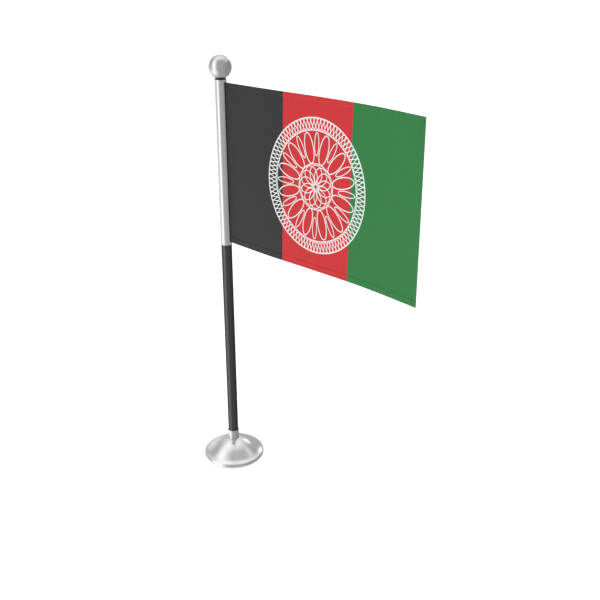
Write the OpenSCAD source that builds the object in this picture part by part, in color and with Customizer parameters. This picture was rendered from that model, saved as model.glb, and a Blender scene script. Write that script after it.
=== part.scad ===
// Desk flag stand: a weighted conical base with a socket ferrule, a plug-in pole, a turning
// sleeve that holds a small flag by its hoist hem, and a ball finial that screws off.
// Origin: the middle of the base's underside. +Z is up the pole, +X runs along the flag.

/* [Base] */
// Diameter of the base over its rim
base_d = 42.1; // [38:0.1:60]
// Height of the cone's top, where the ferrule comes out, above the table
base_h = 13.35; // [12:0.05:20]
// Thickness of the rounded rim, which is also its rounding's diameter
rim_t = 3.2; // [2.4:0.1:3.6]
// Height of the rim's underside above the table
rim_lift = 0.8; // [0.6:0.05:1.2]
// Slope of the hollow sweep where it runs into the rim
lip_slope = 21; // [0:1:30]
// Largest radius of the hollow sweep between the cone and the rim
sweep_r = 11; // [1:0.5:15]
// Largest radius of the crown, the rounding between the ferrule and the cone
crown_r = 26; // [8:0.5:30]
// Slope of the crown where the ferrule comes out
crown_slope = 16; // [10:1:25]
// Width of the small flat ring round the ferrule at the cone's top
hub_ledge = 0.35; // [0.2:0.05:2]
// Wall of the plated shell
shell_wall = 1.0; // [0.6:0.1:1.4]
// Thickness of the shell's top at the ferrule
hub_t = 1.6; // [1.4:0.1:3]
// Depth of the weight's top below the shell's top
weight_drop = 3.85; // [3:0.05:6]
// Thickness of the soft pad under the base
pad_t = 1.2; // [1.2:0.1:1.8]

/* [Socket] */
// Wall of the ferrule round the pole
ferrule_wall = 0.35; // [0.3:0.05:1]
// How far the ferrule stands out of the base
ferrule_stand = 7.15; // [4:0.05:15]
// Metal left above the screw's tip in the ferrule's closed bottom
floor_cap = 1.0; // [0.6:0.1:3]
// Iron left under the ferrule for the screw to pull on
web_t = 1.2; // [1:0.1:2.5]
// Diameter of the socket screw
screw_d = 3.0; // [2.5:0.1:3.5]
// Length of the socket screw below its head
screw_l = 4.4; // [4:0.1:8]
// Diameter of the screw's head
screw_head_d = 5.6; // [5:0.1:6.2]
// Height of the screw's head
screw_head_h = 1.8; // [1.4:0.1:2.2]
// Width across the corners of the hexagon socket in the screw's head
screw_key_w = 2.3; // [1.8:0.1:2.6]
// Diameter of the washer under the screw's head
screw_washer_d = 6.8; // [6.4:0.1:8.5]
// Thickness of that washer
screw_washer_t = 0.5; // [0.3:0.1:1]

/* [Pole] */
// Length of the pole's tube
pole_l = 148.8; // [100:0.1:250]
// Outer diameter of the pole's tube
pole_d = 6.8; // [5.6:0.1:10]
// Wall of the pole's tube
pole_wall = 0.7; // [0.5:0.1:1]
// Thickness of the foot's flange, below the tube
foot_flange_t = 1.0; // [0.6:0.1:2]
// Length of the foot inside the tube
foot_plug_l = 8.0; // [5:0.5:15]
// Closed end of the tapped plug in the tube's top, below the spindle
top_plug_cap = 3.0; // [1:0.5:10]
// Thickness of the washer that the sleeve turns on
thrust_t = 0.5; // [0.3:0.1:1]
// How far that washer reaches under the sleeve's wall and over the pole's
thrust_lap = 0.1; // [0.05:0.05:0.4]

/* [Spindle] */
// Diameter of the spindle and of the threads at its two ends
spindle_d = 3.0; // [2.5:0.1:3.6]
// Length of the spindle screwed into the pole
spindle_foot_l = 9.0; // [6:0.5:15]
// Length of the spindle screwed into the ball
spindle_head_l = 5.0; // [4:0.1:7]

/* [Turning sleeve] */
// Wall of the sleeve
sleeve_wall = 0.45; // [0.4:0.05:0.6]
// Gap on each side of the cloth in the sleeve's slot
slot_gap = 0.2; // [0.1:0.05:0.25]
// Length of the bush in the sleeve's lower end
low_bush_l = 2.0; // [1.5:0.1:5]
// Length of the bush in the sleeve's upper end
top_bush_l = 1.2; // [1:0.1:5]

/* [Flag] */
// Height of the flag along its hoist edge
flag_h = 100; // [70:1:150]
// Length of the flag from the sleeve to its free edge
flag_l = 148; // [100:1:225]
// Thickness of the cloth
cloth_t = 0.3; // [0.2:0.05:0.35]
// How far the middle of the flag bows out of its plane
wave_bow = 2.85; // [0:0.05:8]
// How much the bow leans towards the free edge
wave_lean = 1.3; // [0:0.05:3]
// How far the free edge swings back past the plane
edge_swing = 1.1; // [0:0.05:5]
// Number of steps along the wave
wave_steps = 36; // [12:1:48]
// Diameter of the hoist rod
hoist_rod_d = 0.8; // [0.7:0.05:0.9]
// Thickness of the hem around the hoist rod
hem_t = 0.2; // [0.15:0.05:0.25]

/* [Finial] */
// Diameter of the ball
ball_d = 14.0; // [12:0.1:20]
// Wall of the hollow ball
ball_wall = 0.8; // [0.6:0.1:1.2]
// Diameter of the flat under the ball
ball_flat_d = 6.8; // [6:0.1:8]
// Wall of the dark ring under the ball
ring_wall = 0.65; // [0.4:0.05:1.5]
// Thickness of that ring
ring_t = 0.85; // [0.5:0.05:1.5]
// Wall of the ball's threaded insert
insert_wall = 0.65; // [0.5:0.05:1]
// Wall of the insert's neck, which passes through the ring
insert_neck_wall = 1.05; // [0.9:0.05:1.3]
// Closed end of the insert, above the spindle
insert_cap = 2.8; // [1:0.1:4]

/* [Clearances] */
// Gap round a shaft that turns or slides in its hole
run_gap = 0.05; // [0.02:0.01:0.1]
// Gap between two flat faces that one piece rests or turns on
rest_gap = 0.05; // [0.02:0.01:0.1]
// Gap between the sleeve's top and the ring
float_gap = 0.1; // [0.05:0.05:0.3]
// Gap round a piece that is dropped into a pocket
pocket_gap = 0.1; // [0.05:0.05:0.3]
// Gap between the hoist rod's ends and the bushes
hoist_gap = 0.15; // [0.1:0.05:0.5]
// Gap between the hoist hem and the inside of the sleeve
hem_gap = 0.15; // [0.1:0.05:0.3]
// Gap between the hoist hem and the spindle
hem_clear = 0.35; // [0.3:0.05:1]
// Gap between the soft pad and the screw's head
head_gap = 0.4; // [0.2:0.1:1]
// How far the soft pad's edge lies inside the weight's edge
pad_inset = 0.2; // [0:0.1:1]

/* [Hidden] */

$fn = 96;
over = 1;           // how far a cutting shape runs past what it cuts
end_chamfer = 0.3;  // chamfer on the ends of rods, screws and plugs

// radii, and the slot's width
base_r = base_d / 2;
pole_r = pole_d / 2;
pole_bore_r = pole_r - pole_wall;
socket_r = pole_r + run_gap;
ferrule_r = socket_r + ferrule_wall;
hub_r = ferrule_r + hub_ledge;
spindle_r = spindle_d / 2;
bush_bore_r = spindle_r + run_gap;
hoist_rod_r = hoist_rod_d / 2;
hem_r = hoist_rod_r + hem_t;
sleeve_bore_r = spindle_r + hem_clear + 2 * hem_r + hem_gap;
sleeve_r = sleeve_bore_r + sleeve_wall;
slot_w = cloth_t + 2 * slot_gap;
ball_r = ball_d / 2;
ball_flat_r = ball_flat_d / 2;
insert_r = bush_bore_r + insert_wall;
insert_neck_r = bush_bore_r + insert_neck_wall;
ring_r = insert_neck_r + run_gap + ring_wall;

// the base's section: a round crown at the hub, the cone, a hollow sweep, and the round rim
rim_r = rim_t / 2;
rim_mid = [base_r - rim_r, rim_lift + rim_r];
lip = rim_mid + rim_r * [sin(lip_slope), cos(lip_slope)];
function crown_mid(k) = [hub_r, base_h] - k * crown_r * [sin(crown_slope), cos(crown_slope)];
function sweep_mid(k) = lip + k * sweep_r * [sin(lip_slope), cos(lip_slope)];
function span(k) = sweep_mid(k) - crown_mid(k);
// crown and sweep shrink together until the cone fits between them
fit = [for (k = [1:-0.05:0.05]) if (norm(span(k)) > k * (crown_r + sweep_r)) k][0];
cone_slope = atan2(span(fit)[0], span(fit)[1])
    - acos(fit * (crown_r + sweep_r) / norm(span(fit)));
cone_side = [sin(cone_slope), cos(cone_slope)];
cone_top = crown_mid(fit) + fit * crown_r * cone_side;
cone_foot = sweep_mid(fit) - fit * sweep_r * cone_side;
// the line at a depth below the cone: its radius at a height, and its height at a radius
function line_r(z, depth) = cone_top[0] + (cone_top[1] - z - depth / cone_side[1]) / tan(cone_slope);
function line_z(r, depth) = cone_top[1] - depth / cone_side[1] - (r - cone_top[0]) * tan(cone_slope);
hollow_r = base_r - rim_t;
weight_r = hollow_r - pocket_gap;

// heights, from the table up
head_z = pad_t + head_gap;                   // underside of the screw's head
head_top = head_z + screw_head_h;
screw_tip_z = head_top + screw_l;
ferrule_z = head_top + screw_washer_t + web_t;
socket_z = screw_tip_z + floor_cap;          // floor of the socket that the pole stands on
ferrule_top = base_h + ferrule_stand;
foot_z = socket_z + rest_gap;
tube_z = foot_z + foot_flange_t;
tube_top = tube_z + pole_l;
thrust_top = tube_top + thrust_t;
sleeve_z = thrust_top + rest_gap;
flag_z = sleeve_z + low_bush_l + hoist_gap;
flag_top = flag_z + flag_h;
sleeve_top = flag_top + hoist_gap + top_bush_l;
ring_z = sleeve_top + float_gap;
ball_flat_z = ring_z + ring_t + rest_gap;
ball_z = ball_flat_z + sqrt(ball_r * ball_r - ball_flat_r * ball_flat_r);
spindle_z = tube_top - spindle_foot_l;
spindle_top = ring_z + spindle_head_l;
insert_bore_top = spindle_top + float_gap;

// the flag's line in plan, from the hoist rod to the free edge
hem_x = sleeve_bore_r - hem_gap - hem_r;
wave_x = sleeve_r + 0.1;                     // where the cloth has left the slot
function wave_y(u) = wave_bow * sin(180 * u) - wave_lean * sin(360 * u) - edge_swing * u;
function wave_angle(u) = atan2(
    wave_bow * PI * cos(180 * u) - wave_lean * 2 * PI * cos(360 * u) - edge_swing, flag_l);
function cloth_side(half) = [for (i = [0:wave_steps])
    let (u = i / wave_steps, a = wave_angle(u))
    [wave_x + u * flag_l - half * sin(a), wave_y(u) + half * cos(a)]];
function reversed(list) = [for (i = [len(list) - 1:-1:0]) list[i]];

// a solid rod with a chamfer at each end
module rod(r, z, l) {
    translate([0, 0, z + end_chamfer]) cylinder(r = r, h = l - 2 * end_chamfer);
    translate([0, 0, z]) cylinder(r1 = r - end_chamfer, r2 = r, h = end_chamfer);
    translate([0, 0, z + l - end_chamfer]) cylinder(r1 = r, r2 = r - end_chamfer, h = end_chamfer);
}

// a straight hole from z up by l, running past both ends
module through(r, z, l) {
    translate([0, 0, z - over]) cylinder(r = r, h = l + 2 * over);
}

// a ring or tube
module tube(r, bore, z, l) {
    difference() {
        translate([0, 0, z]) cylinder(r = r, h = l);
        through(bore, z, l);
    }
}

// the crown in section, at a depth below its surface
module crown(depth) intersection() {
    translate(crown_mid(fit)) circle(r = fit * crown_r - depth);
    translate([0, cone_top[1] - depth * cone_side[1] - over]) square([cone_top[0], base_h]);
}

// the base's section at a depth below the crown and cone, out to a radius
module under_cone(depth, r, low, high) intersection() {
    polygon([[0, low], [r, low], [r, line_z(r, depth)], [line_r(high, depth), high], [0, high]]);
    union() {
        crown(depth);
        translate([0, low]) square([r, cone_top[1] - depth * cone_side[1] - low]);
    }
}

module base_shell() color("gainsboro") difference() {
    rotate_extrude() {
        difference() {
            polygon([[0, rim_lift], [rim_mid[0], rim_lift], rim_mid, lip, cone_foot,
                     cone_top, [0, cone_top[1]]]);
            translate(sweep_mid(fit)) circle(r = fit * sweep_r);
        }
        crown(0);
        translate(rim_mid) circle(r = rim_r);
    }
    rotate_extrude() under_cone(shell_wall, hollow_r, -over, base_h - hub_t);
    through(ferrule_r + run_gap, base_h - hub_t, hub_t);
}

module base_weight() color("dimgray") difference() {
    weight_top = base_h - weight_drop;
    rotate_extrude() under_cone(shell_wall + pocket_gap, weight_r, pad_t, weight_top);
    translate([0, 0, ferrule_z]) cylinder(r = ferrule_r + pocket_gap, h = base_h);
    through(screw_d / 2 + pocket_gap, pad_t, ferrule_z - pad_t);
    through(screw_washer_d / 2 + pocket_gap, pad_t - over, head_top + screw_washer_t - pad_t);
}

module base_pad() color("black")
    cylinder(r = weight_r - pad_inset, h = pad_t);

module socket_ferrule() color("silver") difference() {
    translate([0, 0, ferrule_z]) cylinder(r = ferrule_r, h = ferrule_top - ferrule_z);
    through(socket_r, socket_z + over, ferrule_top - socket_z);
    translate([0, 0, ferrule_top - end_chamfer / 2])
        cylinder(r1 = socket_r, r2 = socket_r + end_chamfer, h = end_chamfer);
    translate([0, 0, ferrule_z - over])
        cylinder(r = screw_d / 2, h = over + screw_tip_z + rest_gap - ferrule_z);
}

module socket_screw() color("silver") difference() {
    union() {
        rod(screw_d / 2, head_top - end_chamfer, screw_l + end_chamfer);
        translate([0, 0, head_z]) cylinder(r = screw_head_d / 2, h = screw_head_h);
    }
    translate([0, 0, head_z - over])
        cylinder(r = screw_key_w / 2, h = over + screw_head_h * 0.6, $fn = 6);
}

module screw_washer() color("silver")
    tube(screw_washer_d / 2, screw_d / 2 + pocket_gap, head_top, screw_washer_t);

module lower_pole() color([0.15, 0.15, 0.16])
    tube(pole_r, pole_bore_r, tube_z, pole_l);

module pole_foot() color("black") {
    rod(pole_r - end_chamfer, foot_z, foot_flange_t);
    rod(pole_bore_r, tube_z - end_chamfer, foot_plug_l + end_chamfer);
}

module pole_top_plug() color("silver") difference() {
    translate([0, 0, spindle_z - top_plug_cap])
        cylinder(r = pole_bore_r, h = top_plug_cap + spindle_foot_l);
    translate([0, 0, spindle_z]) cylinder(r = spindle_r, h = spindle_foot_l + over);
}

module spindle() color("silver")
    rod(spindle_r, spindle_z, spindle_top - spindle_z);

module thrust_washer() color("black")
    tube(max(sleeve_bore_r, pole_bore_r) + thrust_lap, bush_bore_r, tube_top, thrust_t);

module flag_sleeve() color("silver") difference() {
    tube(sleeve_r, sleeve_bore_r, sleeve_z, sleeve_top - sleeve_z);
    translate([0, -slot_w / 2, sleeve_z - over])
        cube([sleeve_r + over, slot_w, sleeve_top - sleeve_z + 2 * over]);
}

// a bush that fills one end of the sleeve, with a key in the slot so that it can't turn
module bush(z, l) {
    difference() {
        union() {
            translate([0, 0, z]) cylinder(r = sleeve_bore_r, h = l);
            translate([0, -(slot_w - pocket_gap) / 2, z])
                cube([sleeve_r - pocket_gap, slot_w - pocket_gap, l]);
        }
        through(bush_bore_r, z, l);
    }
}

module lower_bush() color("white") bush(sleeve_z, low_bush_l);

module upper_bush() color("white") bush(sleeve_top - top_bush_l, top_bush_l);

module hoist_rod() color("white")
    translate([hem_x, 0, 0]) rod(hoist_rod_r, flag_z, flag_h);

module flag_cloth() color([0.82, 0.27, 0.27]) translate([0, 0, flag_z])
    linear_extrude(height = flag_h) difference() {
        union() {
            translate([hem_x, 0]) circle(r = hem_r);
            translate([hem_x, -cloth_t / 2]) square([wave_x - hem_x + cloth_t / 2, cloth_t]);
            polygon(concat(cloth_side(-cloth_t / 2), reversed(cloth_side(cloth_t / 2))));
        }
        translate([hem_x, 0]) circle(r = hoist_rod_r);
    }

module finial_ring() color("black")
    tube(ring_r, insert_neck_r + run_gap, ring_z, ring_t);

module finial_insert() color("goldenrod") difference() {
    union() {
        translate([0, 0, ball_flat_z])
            cylinder(r = insert_r, h = insert_bore_top + insert_cap - ball_flat_z);
        translate([0, 0, ring_z + rest_gap]) cylinder(r = insert_neck_r, h = ring_t);
    }
    translate([0, 0, ring_z - over])
        cylinder(r = bush_bore_r, h = over + insert_bore_top - ring_z);
}

module ball_finial() color("gainsboro") difference() {
    translate([0, 0, ball_z]) sphere(r = ball_r);
    translate([-ball_r, -ball_r, ball_z - ball_r - over])
        cube([ball_d, ball_d, ball_flat_z - ball_z + ball_r + over]);
    difference() {
        translate([0, 0, ball_z]) sphere(r = ball_r - ball_wall);
        translate([-ball_r, -ball_r, ball_z - ball_r - over])
            cube([ball_d, ball_d, ball_flat_z + ball_wall - ball_z + ball_r + over]);
    }
    through(insert_r, ball_flat_z, ball_wall);
}

base_shell();
base_weight();
base_pad();
socket_ferrule();
socket_screw();
screw_washer();
lower_pole();
pole_foot();
pole_top_plug();
spindle();
thrust_washer();
flag_sleeve();
lower_bush();
upper_bush();
hoist_rod();
flag_cloth();
finial_ring();
finial_insert();
ball_finial();
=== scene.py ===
"""Looks of the desk flag stand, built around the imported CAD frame.

The CAD metal and plastic nodes stay and get their materials here. The flag is a sheet with
folded hems and stitches that stands for the CAD's plain cloth, with a printed line pattern on it.
"""
import math

import bpy
import numpy as np
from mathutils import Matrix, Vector


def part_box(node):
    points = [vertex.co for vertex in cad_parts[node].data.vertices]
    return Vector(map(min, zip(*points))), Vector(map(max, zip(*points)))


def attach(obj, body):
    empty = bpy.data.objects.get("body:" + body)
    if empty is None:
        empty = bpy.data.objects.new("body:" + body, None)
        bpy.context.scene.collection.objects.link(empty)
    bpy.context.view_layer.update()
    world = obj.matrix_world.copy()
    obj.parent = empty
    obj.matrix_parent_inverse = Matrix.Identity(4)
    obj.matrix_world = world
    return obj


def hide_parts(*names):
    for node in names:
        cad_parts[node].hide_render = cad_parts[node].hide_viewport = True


MM = 0.001
TAU = 2 * math.pi

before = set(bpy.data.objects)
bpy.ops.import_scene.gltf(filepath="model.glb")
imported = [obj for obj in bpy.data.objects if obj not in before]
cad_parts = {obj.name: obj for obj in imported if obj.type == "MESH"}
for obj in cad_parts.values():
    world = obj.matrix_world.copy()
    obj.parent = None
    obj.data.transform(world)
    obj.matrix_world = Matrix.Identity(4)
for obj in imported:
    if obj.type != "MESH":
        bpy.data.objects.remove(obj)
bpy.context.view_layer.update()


# ---------------------------------------------------------------- places, read from the frame

cloth_low, cloth_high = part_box("flag_cloth")
rod_low, rod_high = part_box("hoist_rod")

rod_x = (rod_low.x + rod_high.x) / 2
rod_r = (rod_high.x - rod_low.x) / 2
sleeve_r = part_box("flag_sleeve")[1].x
flag_low = cloth_low.z
flag_h = cloth_high.z - cloth_low.z
CLEAR = 0.1 * MM                      # kept free of the sleeve and of the CAD box's end
wave_x = sleeve_r + CLEAR             # where the cloth leaves the slot
flag_end = cloth_high.x - CLEAR
flag_l = flag_end - wave_x
cut_x = 0.8 * MM                      # the striped cloth starts inside the sleeve
stripe_l = (flag_end - cut_x) / 3
flag_mid_x = cut_x + 1.5 * stripe_l
flag_mid_z = flag_low + flag_h / 2


# ---------------------------------------------------------------- small helpers

def smooth(t):
    """0 before 0, 1 after 1, and an even S between."""
    t = np.clip(t, 0.0, 1.0)
    return t * t * (3 - 2 * t)


def new_mesh(name, points, faces, smooth_shading=True):
    """A new mesh object in the scene."""
    mesh = bpy.data.meshes.new(name)
    mesh.from_pydata([tuple(p) for p in points], [], faces)
    mesh.update()
    mesh.polygons.foreach_set("use_smooth", [smooth_shading] * len(mesh.polygons))
    obj = bpy.data.objects.new(name, mesh)
    bpy.context.scene.collection.objects.link(obj)
    return obj


# ---------------------------------------------------------------- material helpers

def material(name, **sockets):
    """A new node material and its Principled shader, with the named sockets set."""
    mat = bpy.data.materials.new(name)
    mat.use_nodes = True
    shader = mat.node_tree.nodes["Principled BSDF"]
    for socket, value in sockets.items():
        shader.inputs[socket.replace("_", " ")].default_value = value
    return mat, shader


def grey(value, tint=(1, 1, 1)):
    """An opaque colour: the value on each channel, times the tint."""
    return (value * tint[0], value * tint[1], value * tint[2], 1)


def add(mat, kind, **settings):
    """A new node in a material, with its settings."""
    node = mat.node_tree.nodes.new(kind)
    for name, value in settings.items():
        setattr(node, name, value)
    return node


def link(mat, out, into):
    """A wire from one node's output to another's input."""
    mat.node_tree.links.new(out, into)


def math_node(mat, operation, a, b=0.0):
    """The result of a Math node whose inputs are numbers or other nodes' outputs."""
    node = add(mat, "ShaderNodeMath", operation=operation)
    for socket, value in zip(node.inputs, (a, b)):
        if isinstance(value, (int, float)):
            socket.default_value = value
        else:
            link(mat, value, socket)
    return node.outputs[0]


def object_coords(mat, scale=(1, 1, 1)):
    """The piece's own coordinates, stretched by scale."""
    coords = add(mat, "ShaderNodeTexCoord")
    mapping = add(mat, "ShaderNodeMapping")
    mapping.inputs["Scale"].default_value = scale
    link(mat, coords.outputs["Object"], mapping.inputs["Vector"])
    return mapping.outputs["Vector"]


def noise(mat, vector, scale, detail=3.0, roughness=0.55):
    """Soft noise between 0 and 1."""
    node = add(mat, "ShaderNodeTexNoise")
    node.inputs["Scale"].default_value = scale
    node.inputs["Detail"].default_value = detail
    node.inputs["Roughness"].default_value = roughness
    link(mat, vector, node.inputs["Vector"])
    return node.outputs["Fac"]


def ramp(mat, fac, low, high):
    """A number that runs from low to high as fac goes from 0 to 1."""
    node = add(mat, "ShaderNodeMapRange")
    node.inputs["To Min"].default_value = low
    node.inputs["To Max"].default_value = high
    link(mat, fac, node.inputs["Value"])
    return node.outputs["Result"]


def mix_colour(mat, fac, first, second):
    """A colour that runs from the first to the second as fac goes from 0 to 1."""
    node = add(mat, "ShaderNodeMix", data_type="RGBA")
    link(mat, fac, node.inputs["Factor"])
    node.inputs["A"].default_value = first
    node.inputs["B"].default_value = second
    return node.outputs["Result"]


def bump(mat, shader, height, distance):
    """Relief of the given height on a shader."""
    node = add(mat, "ShaderNodeBump")
    node.inputs["Strength"].default_value = 1.0
    node.inputs["Distance"].default_value = distance
    link(mat, height, node.inputs["Height"])
    link(mat, node.outputs["Normal"], shader.inputs["Normal"])


def satin_metal(name, value, roughness, stretch, tint=(1, 1, 1), marks=0.004 * MM):
    """Plated or bare metal: fine marks drawn out along the piece, and slightly uneven gloss."""
    mat, shader = material(name, Metallic=1.0)
    fine = noise(mat, object_coords(mat, stretch), 900, detail=4)
    cloud = noise(mat, object_coords(mat), 120, detail=3)
    link(mat, mix_colour(mat, cloud, grey(value * 0.96, tint), grey(value * 1.03, tint)),
         shader.inputs["Base Color"])
    link(mat, ramp(mat, fine, roughness * 0.85, roughness * 1.18), shader.inputs["Roughness"])
    bump(mat, shader, fine, marks)
    return mat


def dress(node, mat):
    """Gives a CAD node its material."""
    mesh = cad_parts[node].data
    mesh.materials.clear()
    mesh.materials.append(mat)


# ---------------------------------------------------------------- the flag's shape

# how far the cloth bows out of its plane, leans and swings back, at the bottom and top edge
WAVE_BOW = (1.55 * MM, 4.2 * MM)
WAVE_LEAN = (1.05 * MM, 1.3 * MM)
EDGE_SWING = (0.75 * MM, 1.35 * MM)
RIPPLE = 0.10 * MM

CLOTH_T = 0.2 * MM
THREAD_PITCH = 0.22 * MM
HEM_W = 3.2 * MM
HEM_STEP = 0.35 * MM     # run over which the cloth drops from the hem to one layer
STITCH_IN = 2.4 * MM     # the stitch line's distance from the edge
LAP_W = 5.0 * MM         # double cloth at the hoist, past the sleeve
SLOT_SHADE_W = 0.65 * MM       # painted shade: a near-black strip along the hoist, just outside the sleeve, standing for the shadow where the cloth enters the slot
GATHER = 0.022 * MM      # height of the small gathers along the stitches
GATHER_W = 1.6 * MM      # how far they reach from the stitch line
GATHER_START = 4 * MM    # they grow to full height over this, from the sleeve
GROOVE_W = 0.18 * MM     # half width of the groove that the stitches draw in
GROOVE_FRONT, GROOVE_BACK = 0.012 * MM, 0.02 * MM
EDGE_R = 0.12 * MM       # rounding of the cloth's edge


def flag_y(x, z):
    """Where the middle of the cloth lies, at a distance along the flag and a height."""
    u = np.clip((x - wave_x) / flag_l, 0, 1)
    v = np.clip((z - flag_low) / flag_h, 0, 1)
    bow, lean, swing = (a + (b - a) * v for a, b in (WAVE_BOW, WAVE_LEAN, EDGE_SWING))
    main = bow * np.sin(math.pi * u) - lean * np.sin(TAU * u) - swing * u
    ripple = RIPPLE * np.sin(TAU * (3.1 * u + 0.8 * v)) * np.sin(math.pi * u)
    return main + ripple


def edge_distance(x, z):
    """Distance to the nearest hemmed edge: bottom, top or the free edge."""
    return np.minimum(np.minimum(z - flag_low, flag_low + flag_h - z), flag_end - x)


def pucker(x, z):
    """Small gathers that the stitching pulls into the hems."""
    d = edge_distance(x, z)
    near = np.exp(-((d - STITCH_IN) / GATHER_W) ** 2)
    along = np.where(flag_end - x < np.minimum(z - flag_low, flag_low + flag_h - z), z, x)
    gathers = np.sin(along / (0.62 * MM)) + 0.6 * np.sin(along / (1.13 * MM) + 1)
    return GATHER * near * gathers


def cloth_faces_y(x, z):
    """The y of the cloth's face towards -Y and of its face towards +Y, which carries the hems."""
    d = edge_distance(x, z)
    hem = 1 - smooth((d - HEM_W) / HEM_STEP)
    lap = 1 - smooth((x - wave_x - LAP_W) / HEM_STEP)
    double = np.maximum(hem, lap)
    rounding = smooth(d / EDGE_R + 0.35)
    stitch = np.exp(-((d - STITCH_IN) / GROOVE_W) ** 2)
    middle = flag_y(x, z) + pucker(x, z) * smooth((x - wave_x) / GATHER_START)
    front = middle - (CLOTH_T / 2) * rounding + GROOVE_FRONT * stitch
    back = middle + (CLOTH_T / 2 + CLOTH_T * double) * rounding - GROOVE_BACK * stitch
    return front, back


def stretch_of(start, end, step):
    """Even steps of about the given size from start up to, and without, end."""
    count = max(1, round((end - start) / step))
    return [start + (end - start) * i / count for i in range(count)]


def make_flag():
    """The flag as one closed thin mesh: front, back and the edges that join them."""
    xs = stretch_of(wave_x, wave_x + SLOT_SHADE_W, 0.2 * MM)
    xs += stretch_of(wave_x + SLOT_SHADE_W, wave_x + LAP_W, 0.5 * MM)
    xs += stretch_of(wave_x + LAP_W, wave_x + LAP_W + HEM_STEP, 0.1 * MM)
    xs += stretch_of(wave_x + LAP_W + HEM_STEP, cut_x + stripe_l, 0.6 * MM)
    xs += stretch_of(cut_x + stripe_l, cut_x + 2 * stripe_l, 0.6 * MM)
    xs += stretch_of(cut_x + 2 * stripe_l, flag_end - HEM_W - HEM_STEP, 0.6 * MM)
    xs += [flag_end - d for d in edge_steps()]
    zs = [flag_low + d for d in reversed(edge_steps())]
    zs += stretch_of(flag_low + HEM_W + HEM_STEP, flag_low + flag_h - HEM_W - HEM_STEP, 0.7 * MM)
    zs += [flag_low + flag_h - d for d in edge_steps()]
    x, z = np.meshgrid(np.array(xs), np.array(zs), indexing="ij")
    front, back = cloth_faces_y(x, z)
    nx, nz = x.shape
    points = np.concatenate([np.stack([x, y, z], -1).reshape(-1, 3) for y in (front, back)])

    def at(side, i, k):
        return side * nx * nz + i * nz + k

    faces, columns = [], []
    off = nx * nz
    for i in range(nx - 1):
        for k in range(nz - 1):
            a, b, c, d = at(0, i, k), at(0, i + 1, k), at(0, i + 1, k + 1), at(0, i, k + 1)
            faces.append((a, b, c, d))
            faces.append((d + off, c + off, b + off, a + off))
            columns += [i, i]
        for k in (0, nz - 1):
            a, b, c, d = at(0, i, k), at(0, i + 1, k), at(1, i + 1, k), at(1, i, k)
            faces.append((d, c, b, a) if k == 0 else (a, b, c, d))
            columns.append(i)
    for i in (0, nx - 1):
        for k in range(nz - 1):
            a, b, c, d = at(0, i, k), at(0, i, k + 1), at(1, i, k + 1), at(1, i, k)
            faces.append((a, b, c, d) if i == 0 else (d, c, b, a))
            columns.append(min(i, nx - 2))
    obj = new_mesh("flag_sheet", points, faces)
    for mat in stripe_materials():
        obj.data.materials.append(mat)
    # the fourth material is painted shade: the near-black of the slot's shadow, on the faces next
    # to the sleeve
    obj.data.materials.append(slot_shade_material())
    middles = [(xs[i] + xs[i + 1]) / 2 for i in columns]
    stripes = [3 if m < wave_x + SLOT_SHADE_W else min(2, int((m - cut_x) / stripe_l))
               for m in middles]
    obj.data.polygons.foreach_set("material_index", stripes)
    return obj


def edge_steps():
    """Distances from a hemmed edge, from the hem's inner side out to the edge."""
    inner = [HEM_W + HEM_STEP * s for s in (1, 0.75, 0.5, 0.25, 0)]
    seam = [STITCH_IN + s * MM for s in (0.5, 0.3, 0.15, 0, -0.15, -0.3, -0.5)]
    outer = [s * MM for s in (1.4, 0.9, 0.5, 0.25, 0.12, 0.05, 0)]
    return inner + seam + outer


# ---------------------------------------------------------------- cloth materials

def stripe_material(name, colour, sheen):
    """Printed satin cloth: crossed threads with a fine sheen and a faint unevenness of the dye."""
    mat, shader = material(name, Roughness=0.36)
    shader.inputs["Specular IOR Level"].default_value = 0.22
    shader.inputs["Sheen Weight"].default_value = sheen
    shader.inputs["Sheen Roughness"].default_value = 0.45
    coords = add(mat, "ShaderNodeTexCoord")
    split = add(mat, "ShaderNodeSeparateXYZ")
    link(mat, coords.outputs["Object"], split.inputs[0])
    warp, weft = (math_node(mat, "SINE", math_node(mat, "MULTIPLY", split.outputs[axis],
                                                   TAU / THREAD_PITCH)) for axis in "XZ")
    crossing = math_node(mat, "MULTIPLY", warp, weft)
    dye = noise(mat, object_coords(mat, (1, 1, 1)), 260, detail=4)
    slub = noise(mat, object_coords(mat, (0.3, 1, 3.0)), 1400, detail=2)
    tone = math_node(mat, "ADD", math_node(mat, "MULTIPLY", crossing, 0.10),
                     math_node(mat, "ADD", math_node(mat, "MULTIPLY", dye, 0.5),
                               math_node(mat, "MULTIPLY", slub, 0.4)))
    dark = tuple(c * 0.93 for c in colour) + (1,)
    light = tuple(min(1, c * 1.08) for c in colour) + (1,)
    link(mat, mix_colour(mat, tone, dark, light), shader.inputs["Base Color"])
    height = math_node(mat, "ADD", crossing, math_node(mat, "MULTIPLY", slub, 1.5))
    bump(mat, shader, height, 0.012 * MM)
    return mat


STRIPE_COLOURS = (("cloth_black", (0.025, 0.025, 0.026), 0.02),
                  ("cloth_red", (0.60, 0.024, 0.027), 0.02),
                  ("cloth_green", (0.022, 0.195, 0.048), 0.02))


def stripe_materials():
    """The cloth's materials, from the hoist out."""
    return [stripe_material(*row) for row in STRIPE_COLOURS]


def slot_shade_material():
    """Near-black cloth along the hoist, where the cloth enters the sleeve: painted shade for the
    shadow in the slot.
    """
    return stripe_material("hoist_painted_shade", (0.004, 0.004, 0.004), 0.0)


# ---------------------------------------------------------------- the hoist hem round its rod

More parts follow.
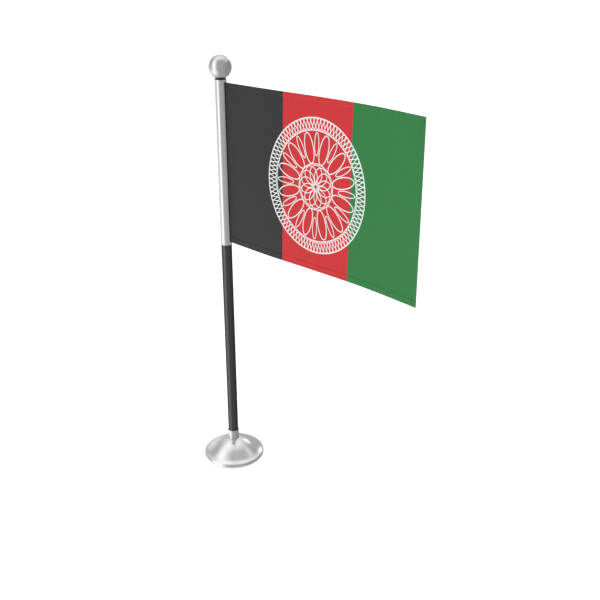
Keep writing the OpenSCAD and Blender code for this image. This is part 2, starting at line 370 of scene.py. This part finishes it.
def make_hoist_hem():
    """The cloth that wraps the rod inside the sleeve and comes out of the slot as two layers."""
    turns = 20
    r = rod_r + 0.02 * MM
    out = CLOTH_T * 0.9
    arc = [math.pi * (0.12 + 1.76 * i / turns) for i in range(turns + 1)]
    inner = [(rod_x + r * math.cos(a), r * math.sin(a)) for a in arc]
    outer = [(rod_x + (r + out) * math.cos(a), (r + out) * math.sin(a)) for a in arc]
    tip = wave_x + 0.4 * MM
    inner = [(tip, 0.01 * MM)] + inner + [(tip, -0.01 * MM)]
    outer = [(tip, CLOTH_T)] + outer + [(tip, -CLOTH_T * 0.6)]
    outline = inner + outer[::-1]
    n, half = len(outline), len(inner)
    points = [(x, y, z) for z in (flag_low, flag_low + flag_h) for x, y in outline]
    faces = [(i, (i + 1) % n, (i + 1) % n + n, i + n) for i in range(n)]
    for i in range(half - 1):
        faces.append((i, n - 1 - i, n - 2 - i, i + 1))
        faces.append((i + n, i + 1 + n, 2 * n - 2 - i, 2 * n - 1 - i))
    obj = new_mesh("hoist_hem", points, faces, smooth_shading=False)
    # painted shade: the hem that comes out of the slot takes the same near-black as the slot's
    # shadow
    obj.data.materials.append(slot_shade_material())
    return obj


# ---------------------------------------------------------------- stitches

def stitch_lines():
    """The two ends of each line of stitches: the three hems and the hoist lap."""
    low, high = flag_low + STITCH_IN, flag_low + flag_h - STITCH_IN
    right = flag_end - STITCH_IN
    left = wave_x + LAP_W - 0.9 * MM
    return [((left, low), (right, low)), ((right, low), (right, high)),
            ((right, high), (left, high)), ((left, high), (left, low))]


STITCH_PITCH, STITCH_L, STITCH_R = 1.7 * MM, 1.35 * MM, 0.07 * MM


def make_stitches():
    """Thread lying on both faces: one short rounded bar for each stitch."""
    r = STITCH_R
    rings, sides = 5, 6
    points, faces, stripes = [], [], []
    for (x0, z0), (x1, z1) in stitch_lines():
        run = math.hypot(x1 - x0, z1 - z0)
        dx, dz = (x1 - x0) / run, (z1 - z0) / run
        count = int(run / STITCH_PITCH)
        for s in range(count):
            mid = (s + 0.5) * run / count
            for side in (0, 1):
                base = len(points)
                for k in range(rings):
                    t = k / (rings - 1)
                    along = mid + (t - 0.5) * STITCH_L
                    x, z = x0 + dx * along, z0 + dz * along
                    y = cloth_faces_y(np.array(x), np.array(z))[side]
                    lift = r * (math.sin(math.pi * t) * 1.1 - 0.5) * (-1 if side == 0 else 1)
                    fat = r * (0.35 + 0.65 * math.sin(math.pi * min(max(t, 0.08), 0.92)) ** 0.5)
                    for q in range(sides):
                        a = TAU * q / sides
                        points.append((x - dz * fat * math.cos(a),
                                       float(y) + lift + fat * math.sin(a),
                                       z + dx * fat * math.cos(a)))
                for k in range(rings - 1):
                    for q in range(sides):
                        a, b = base + k * sides + q, base + k * sides + (q + 1) % sides
                        faces.append((a, b, b + sides, a + sides))
                faces.append(tuple(base + q for q in reversed(range(sides))))
                faces.append(tuple(base + (rings - 1) * sides + q for q in range(sides)))
                stripe = min(2, int((x0 + dx * mid - cut_x) / stripe_l))
                stripes += [stripe] * ((rings - 1) * sides + 2)
    obj = new_mesh("hem_stitches", points, faces)
    for name, colour, _ in STRIPE_COLOURS:
        obj.data.materials.append(thread_material(name.replace("cloth", "thread"), colour))
    obj.data.polygons.foreach_set("material_index", stripes)
    return obj


def thread_material(name, colour):
    """Twisted thread with a random twist tone, its colour lifted above the stripe it is sewn on as
    painted light against the shade round the thread.
    """
    mat, shader = material(name, Roughness=0.45)
    twist = noise(mat, object_coords(mat, (1, 1, 1)), 5000, detail=2)
    # painted light: both ends of the mix sit above the stripe's colour, to lift the thread out of
    # its shade
    dark = tuple(c * 1.05 for c in colour) + (1,)
    light = tuple(min(1, c * 1.45) for c in colour) + (1,)
    link(mat, mix_colour(mat, twist, dark, light), shader.inputs["Base Color"])
    shader.inputs["Sheen Weight"].default_value = 0.2
    return mat


# ---------------------------------------------------------------- the printed pattern

PRINT_R = 36.4 * MM
PRINT_RISE = 1.07        # the pattern is a little taller than wide


def ring(radius, swell=0.0, lobes=0, phase=0.0, steps=360):
    """A closed line round the pattern's middle, whose radius may swell in even lobes."""
    angles = [TAU * i / steps for i in range(steps)]
    radii = [radius + swell * math.cos(lobes * (a + phase)) for a in angles]
    return [(r * math.cos(a), r * math.sin(a)) for r, a in zip(radii, angles)]


def rosette(lobes, hub, arm, steps):
    """A closed line of crossing loops, as a geometric drawing toy makes them."""
    points = []
    for i in range(steps):
        a = TAU * i / steps
        points.append((hub * math.cos(a) + arm * math.cos((1 - lobes) * a),
                       hub * math.sin(a) + arm * math.sin((1 - lobes) * a)))
    return points


def petal(angle, inner, outer, half_width, steps=28):
    """A pointed leaf from one radius to another."""
    side = [(inner + (outer - inner) * (1 - math.cos(math.pi * i / steps)) / 2,
             half_width * math.sin(math.pi * i / steps)) for i in range(steps)]
    back = [(inner + (outer - inner) * (1 + math.cos(math.pi * i / steps)) / 2,
             -half_width * math.sin(math.pi * i / steps)) for i in range(steps)]
    c, s = math.cos(angle), math.sin(angle)
    return [(x * c - y * s, x * s + y * c) for x, y in side + back]


def print_lines():
    """(closed line, line width) for each line of the pattern, about the pattern's middle."""
    lines = [(ring(PRINT_R - 0.4 * MM), 0.55 * MM), (ring(29.6 * MM), 0.5 * MM)]
    for k in range(3):
        lines.append((ring(33.1 * MM, 3.1 * MM, 30, phase=TAU * k / 90, steps=900), 0.45 * MM))
    lines += [(petal(TAU * (k + 0.5) / 12, 12.5 * MM, 28.6 * MM, 3.0 * MM), 0.55 * MM)
              for k in range(12)]
    lines += [(petal(TAU * k / 12, 16.5 * MM, 28.6 * MM, 1.5 * MM), 0.45 * MM) for k in range(12)]
    lines.append((rosette(12, 6.4 * MM, 5.2 * MM, 720), 0.45 * MM))
    lines.append((ring(12.3 * MM), 0.5 * MM))
    return lines


def make_print():
    """The pattern as thin closed strips that pass through the cloth and show on both faces."""
    points, faces = [], []
    for level, (line, width) in enumerate(print_lines()):
        n, base = len(line), len(points)
        proud = (0.012 + 0.0015 * (level % 6)) * MM
        for i in range(n):
            (ax, az), (x, z), (bx, bz) = line[i - 1], line[i], line[(i + 1) % n]
            run = math.hypot(bx - ax, bz - az) or 1.0
            nx, nz = -(bz - az) / run * width / 2, (bx - ax) / run * width / 2
            for sign in (-1, 1):
                px, pz = flag_mid_x + x + sign * nx, flag_mid_z + (z + sign * nz) * PRINT_RISE
                front, back = cloth_faces_y(np.array(px), np.array(pz))
                points.append((px, float(front) - proud, pz))
                points.append((px, float(back) + proud, pz))
        for i in range(n):
            a, b = base + 4 * i, base + 4 * ((i + 1) % n)
            faces += [(a, b, b + 2, a + 2), (a + 1, a + 3, b + 3, b + 1),
                      (a, a + 1, b + 1, b), (a + 2, b + 2, b + 3, a + 3)]
    obj = new_mesh("flag_print", points, faces, smooth_shading=False)
    mat, shader = material("print_white", Roughness=0.6)
    ink = noise(mat, object_coords(mat), 1500, detail=3)
    link(mat, mix_colour(mat, ink, grey(0.84), grey(0.93)), shader.inputs["Base Color"])
    bump(mat, shader, ink, 0.01 * MM)
    obj.data.materials.append(mat)
    return obj


# ---------------------------------------------------------------- the CAD nodes' materials

PLASTIC_GRAIN = 0.004 * MM


def plain_plastic(name, colour, roughness):
    """Moulded plastic or rubber with a fine grain."""
    mat, shader = material(name)
    fine = noise(mat, object_coords(mat), 3500, detail=3)
    dark = tuple(c * 0.92 for c in colour) + (1,)
    link(mat, mix_colour(mat, fine, dark, tuple(colour) + (1,)), shader.inputs["Base Color"])
    link(mat, ramp(mat, fine, roughness * 0.9, roughness * 1.1), shader.inputs["Roughness"])
    bump(mat, shader, fine, PLASTIC_GRAIN)
    return mat


def felt():
    """Black felt with short upright fibres."""
    mat, shader = material("pad_felt", Roughness=0.95)
    fibre = noise(mat, object_coords(mat, (1, 1, 3)), 2200, detail=6, roughness=0.7)
    link(mat, mix_colour(mat, fibre, grey(0.012), grey(0.045)), shader.inputs["Base Color"])
    shader.inputs["Sheen Weight"].default_value = 0.4
    bump(mat, shader, fibre, 0.15 * MM)
    return mat


def cast_iron():
    """Rough cast iron."""
    mat, shader = material("weight_iron", Metallic=0.85)
    skin = noise(mat, object_coords(mat), 900, detail=6, roughness=0.65)
    link(mat, mix_colour(mat, skin, grey(0.09), grey(0.2)), shader.inputs["Base Color"])
    link(mat, ramp(mat, skin, 0.5, 0.8), shader.inputs["Roughness"])
    bump(mat, shader, skin, 0.08 * MM)
    return mat


def black_anodised():
    """Dyed anodised tube: a dark metal with the drawing marks of the tube under the dye."""
    mat, shader = material("pole_black", Metallic=1.0)
    drawn = noise(mat, object_coords(mat, (1, 1, 0.02)), 1500, detail=3)
    link(mat, mix_colour(mat, drawn, grey(0.094), grey(0.112)), shader.inputs["Base Color"])
    link(mat, ramp(mat, drawn, 0.22, 0.30), shader.inputs["Roughness"])
    shader.inputs["Specular Tint"].default_value = grey(0.25)
    bump(mat, shader, drawn, 0.003 * MM)
    return mat


def dress_cad_nodes():
    """Materials for the CAD nodes, which keep their shapes."""
    turned = (1, 1, 1)
    drawn = (1, 1, 0.02)
    dress("base_shell", satin_metal("base_plating", 0.80, 0.24, turned, marks=0.001 * MM))
    dress("socket_ferrule", satin_metal("ferrule_plating", 0.74, 0.22, drawn, marks=0.002 * MM))
    dress("flag_sleeve", satin_metal("sleeve_aluminium", 0.76, 0.26, drawn, marks=0.003 * MM))
    dress("ball_finial", satin_metal("ball_plating", 0.70, 0.23, turned, marks=0.0004 * MM))
    dress("lower_pole", black_anodised())
    dress("base_weight", cast_iron())
    dress("base_pad", felt())
    steel = satin_metal("fastener_steel", 0.55, 0.32, turned)
    for node in ("socket_screw", "screw_washer"):
        dress(node, steel)
    dress("spindle", satin_metal("spindle_steel", 0.56, 0.24, drawn))
    brass = satin_metal("turned_brass", 0.75, 0.25, turned, tint=(1.0, 0.76, 0.38))
    for node in ("pole_top_plug", "finial_insert"):
        dress(node, brass)
    black = plain_plastic("black_plastic", (0.02, 0.02, 0.021), 0.5)
    for node in ("pole_foot", "thrust_washer"):
        dress(node, black)
    nylon = plain_plastic("bush_nylon", (0.72, 0.70, 0.64), 0.45)
    for node in ("lower_bush", "upper_bush"):
        dress(node, nylon)
    dress("hoist_rod", plain_plastic("rod_plastic", (0.75, 0.75, 0.73), 0.3))
    dress("finial_ring", plain_plastic("ring_rubber", (0.018, 0.018, 0.018), 0.6))


# ---------------------------------------------------------------- floor, light and camera

FLOOR_GLOW = 0.62
FLOOR_HALF = 30.0        # metres from the middle to each side


def make_floor():
    """A wide white floor with a light of its own, so that it stays white right to the horizon.

    The metal doesn't mirror it: polished pieces show the studio round them instead.
    """
    size = FLOOR_HALF
    corners = [(-size, -size, 0), (size, -size, 0), (size, size, 0), (-size, size, 0)]
    floor = new_mesh("floor", corners, [(0, 1, 2, 3)], smooth_shading=False)
    mat, shader = material("floor_white", Roughness=0.9)
    shader.inputs["Base Color"].default_value = grey(0.9)
    shader.inputs["Specular IOR Level"].default_value = 0.0
    shader.inputs["Emission Color"].default_value = grey(1.0)
    shader.inputs["Emission Strength"].default_value = FLOOR_GLOW
    floor.data.materials.append(mat)
    floor.visible_glossy = False


def direction(azimuth, elevation):
    """Azimuth 0 points to the -Y side, and 90 to the +X side."""
    a, e = math.radians(azimuth), math.radians(elevation)
    return Vector((math.sin(a) * math.cos(e), -math.cos(a) * math.cos(e), math.sin(e)))


STUDIO_GREY = 0.48

# soft panels round the stand: azimuth, elevation, full brightness out to, fades by (all in
# degrees) and brightness, which is below 0 where the studio is darker than its grey
STUDIO_PANELS = (
    (-12, -38, 12, 34, 0.60),
    (-12, 0, 13, 33, 0.80),
    (-22, 32, 8, 30, 0.75),
    (-38, 58, 5, 28, 0.45),
    (192, 27, 2, 11, 1.1),
    (145, 42, 3, 13, 0.5),
    (-92, -15, 12, 42, 0.42),
    (-50, -42, 14, 36, 0.45),
    (225, 62, 8, 50, 0.45),
    (50, 100, 8, 34, 0.20),
    (50, 8, 1, 7, 0.15),
    (140, -8, 15, 70, -0.14),
)


def make_world():
    """An even grey studio with soft bright panels in it."""
    world = bpy.data.worlds.new("studio")
    world.use_nodes = True
    tree = world.node_tree

    def node(kind, **settings):
        made = tree.nodes.new(kind)
        for name, value in settings.items():
            setattr(made, name, value)
        return made

    coords = node("ShaderNodeTexCoord").outputs["Generated"]
    total = None
    for azimuth, elevation, full, fades, brightness in STUDIO_PANELS:
        dot = node("ShaderNodeVectorMath", operation="DOT_PRODUCT")
        tree.links.new(coords, dot.inputs[0])
        dot.inputs[1].default_value = direction(azimuth, elevation)
        window = node("ShaderNodeMapRange", interpolation_type="SMOOTHSTEP")
        window.inputs["From Min"].default_value = math.cos(math.radians(fades))
        window.inputs["From Max"].default_value = math.cos(math.radians(full))
        window.inputs["To Max"].default_value = brightness
        tree.links.new(dot.outputs["Value"], window.inputs["Value"])
        add_up = node("ShaderNodeMath", operation="ADD")
        tree.links.new(window.outputs["Result"], add_up.inputs[0])
        if total is None:
            add_up.inputs[1].default_value = STUDIO_GREY
        else:
            tree.links.new(total, add_up.inputs[1])
        total = add_up.outputs[0]
    background = tree.nodes["Background"]
    tree.links.new(total, background.inputs["Strength"])
    background.inputs["Color"].default_value = (1, 1, 1, 1)
    bpy.context.scene.world = world


# where the camera stands, in degrees and metres, and how far it is turned and tipped from there
CAMERA_AZIMUTH, CAMERA_TURN, CAMERA_PITCH = 49.70, 5.330, 23.453
CAMERA_DISTANCE, CAMERA_HEIGHT = 0.5085, 0.3394


def make_camera():
    """The camera stands to the right of the flag's face and looks down at the stand."""
    a = math.radians(CAMERA_AZIMUTH)
    place = Vector((math.sin(a) * CAMERA_DISTANCE, -math.cos(a) * CAMERA_DISTANCE, CAMERA_HEIGHT))
    look, pitch = math.radians(CAMERA_AZIMUTH - CAMERA_TURN), math.radians(CAMERA_PITCH)
    aim = Vector((-math.sin(look) * math.cos(pitch), math.cos(look) * math.cos(pitch),
                  -math.sin(pitch)))
    data = bpy.data.cameras.new("camera")
    data.lens, data.sensor_width = 50, 36
    camera = bpy.data.objects.new("camera", data)
    camera.location = place
    camera.rotation_mode = "QUATERNION"
    camera.rotation_quaternion = aim.to_track_quat("-Z", "Y")
    bpy.context.scene.collection.objects.link(camera)
    bpy.context.scene.camera = camera


# ---------------------------------------------------------------- putting it together

make_camera()
make_floor()
make_world()
bpy.context.scene.view_settings.view_transform = "Standard"

dress_cad_nodes()
flag = make_flag()
hem = make_hoist_hem()
stitches = make_stitches()
pattern = make_print()
for piece in (flag, hem, stitches, pattern):
    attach(piece, "turning_sleeve")
    piece.visible_glossy = False      # the bright metal mirrors the studio, not the cloth
for piece in (flag, hem):
    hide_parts("flag_cloth")
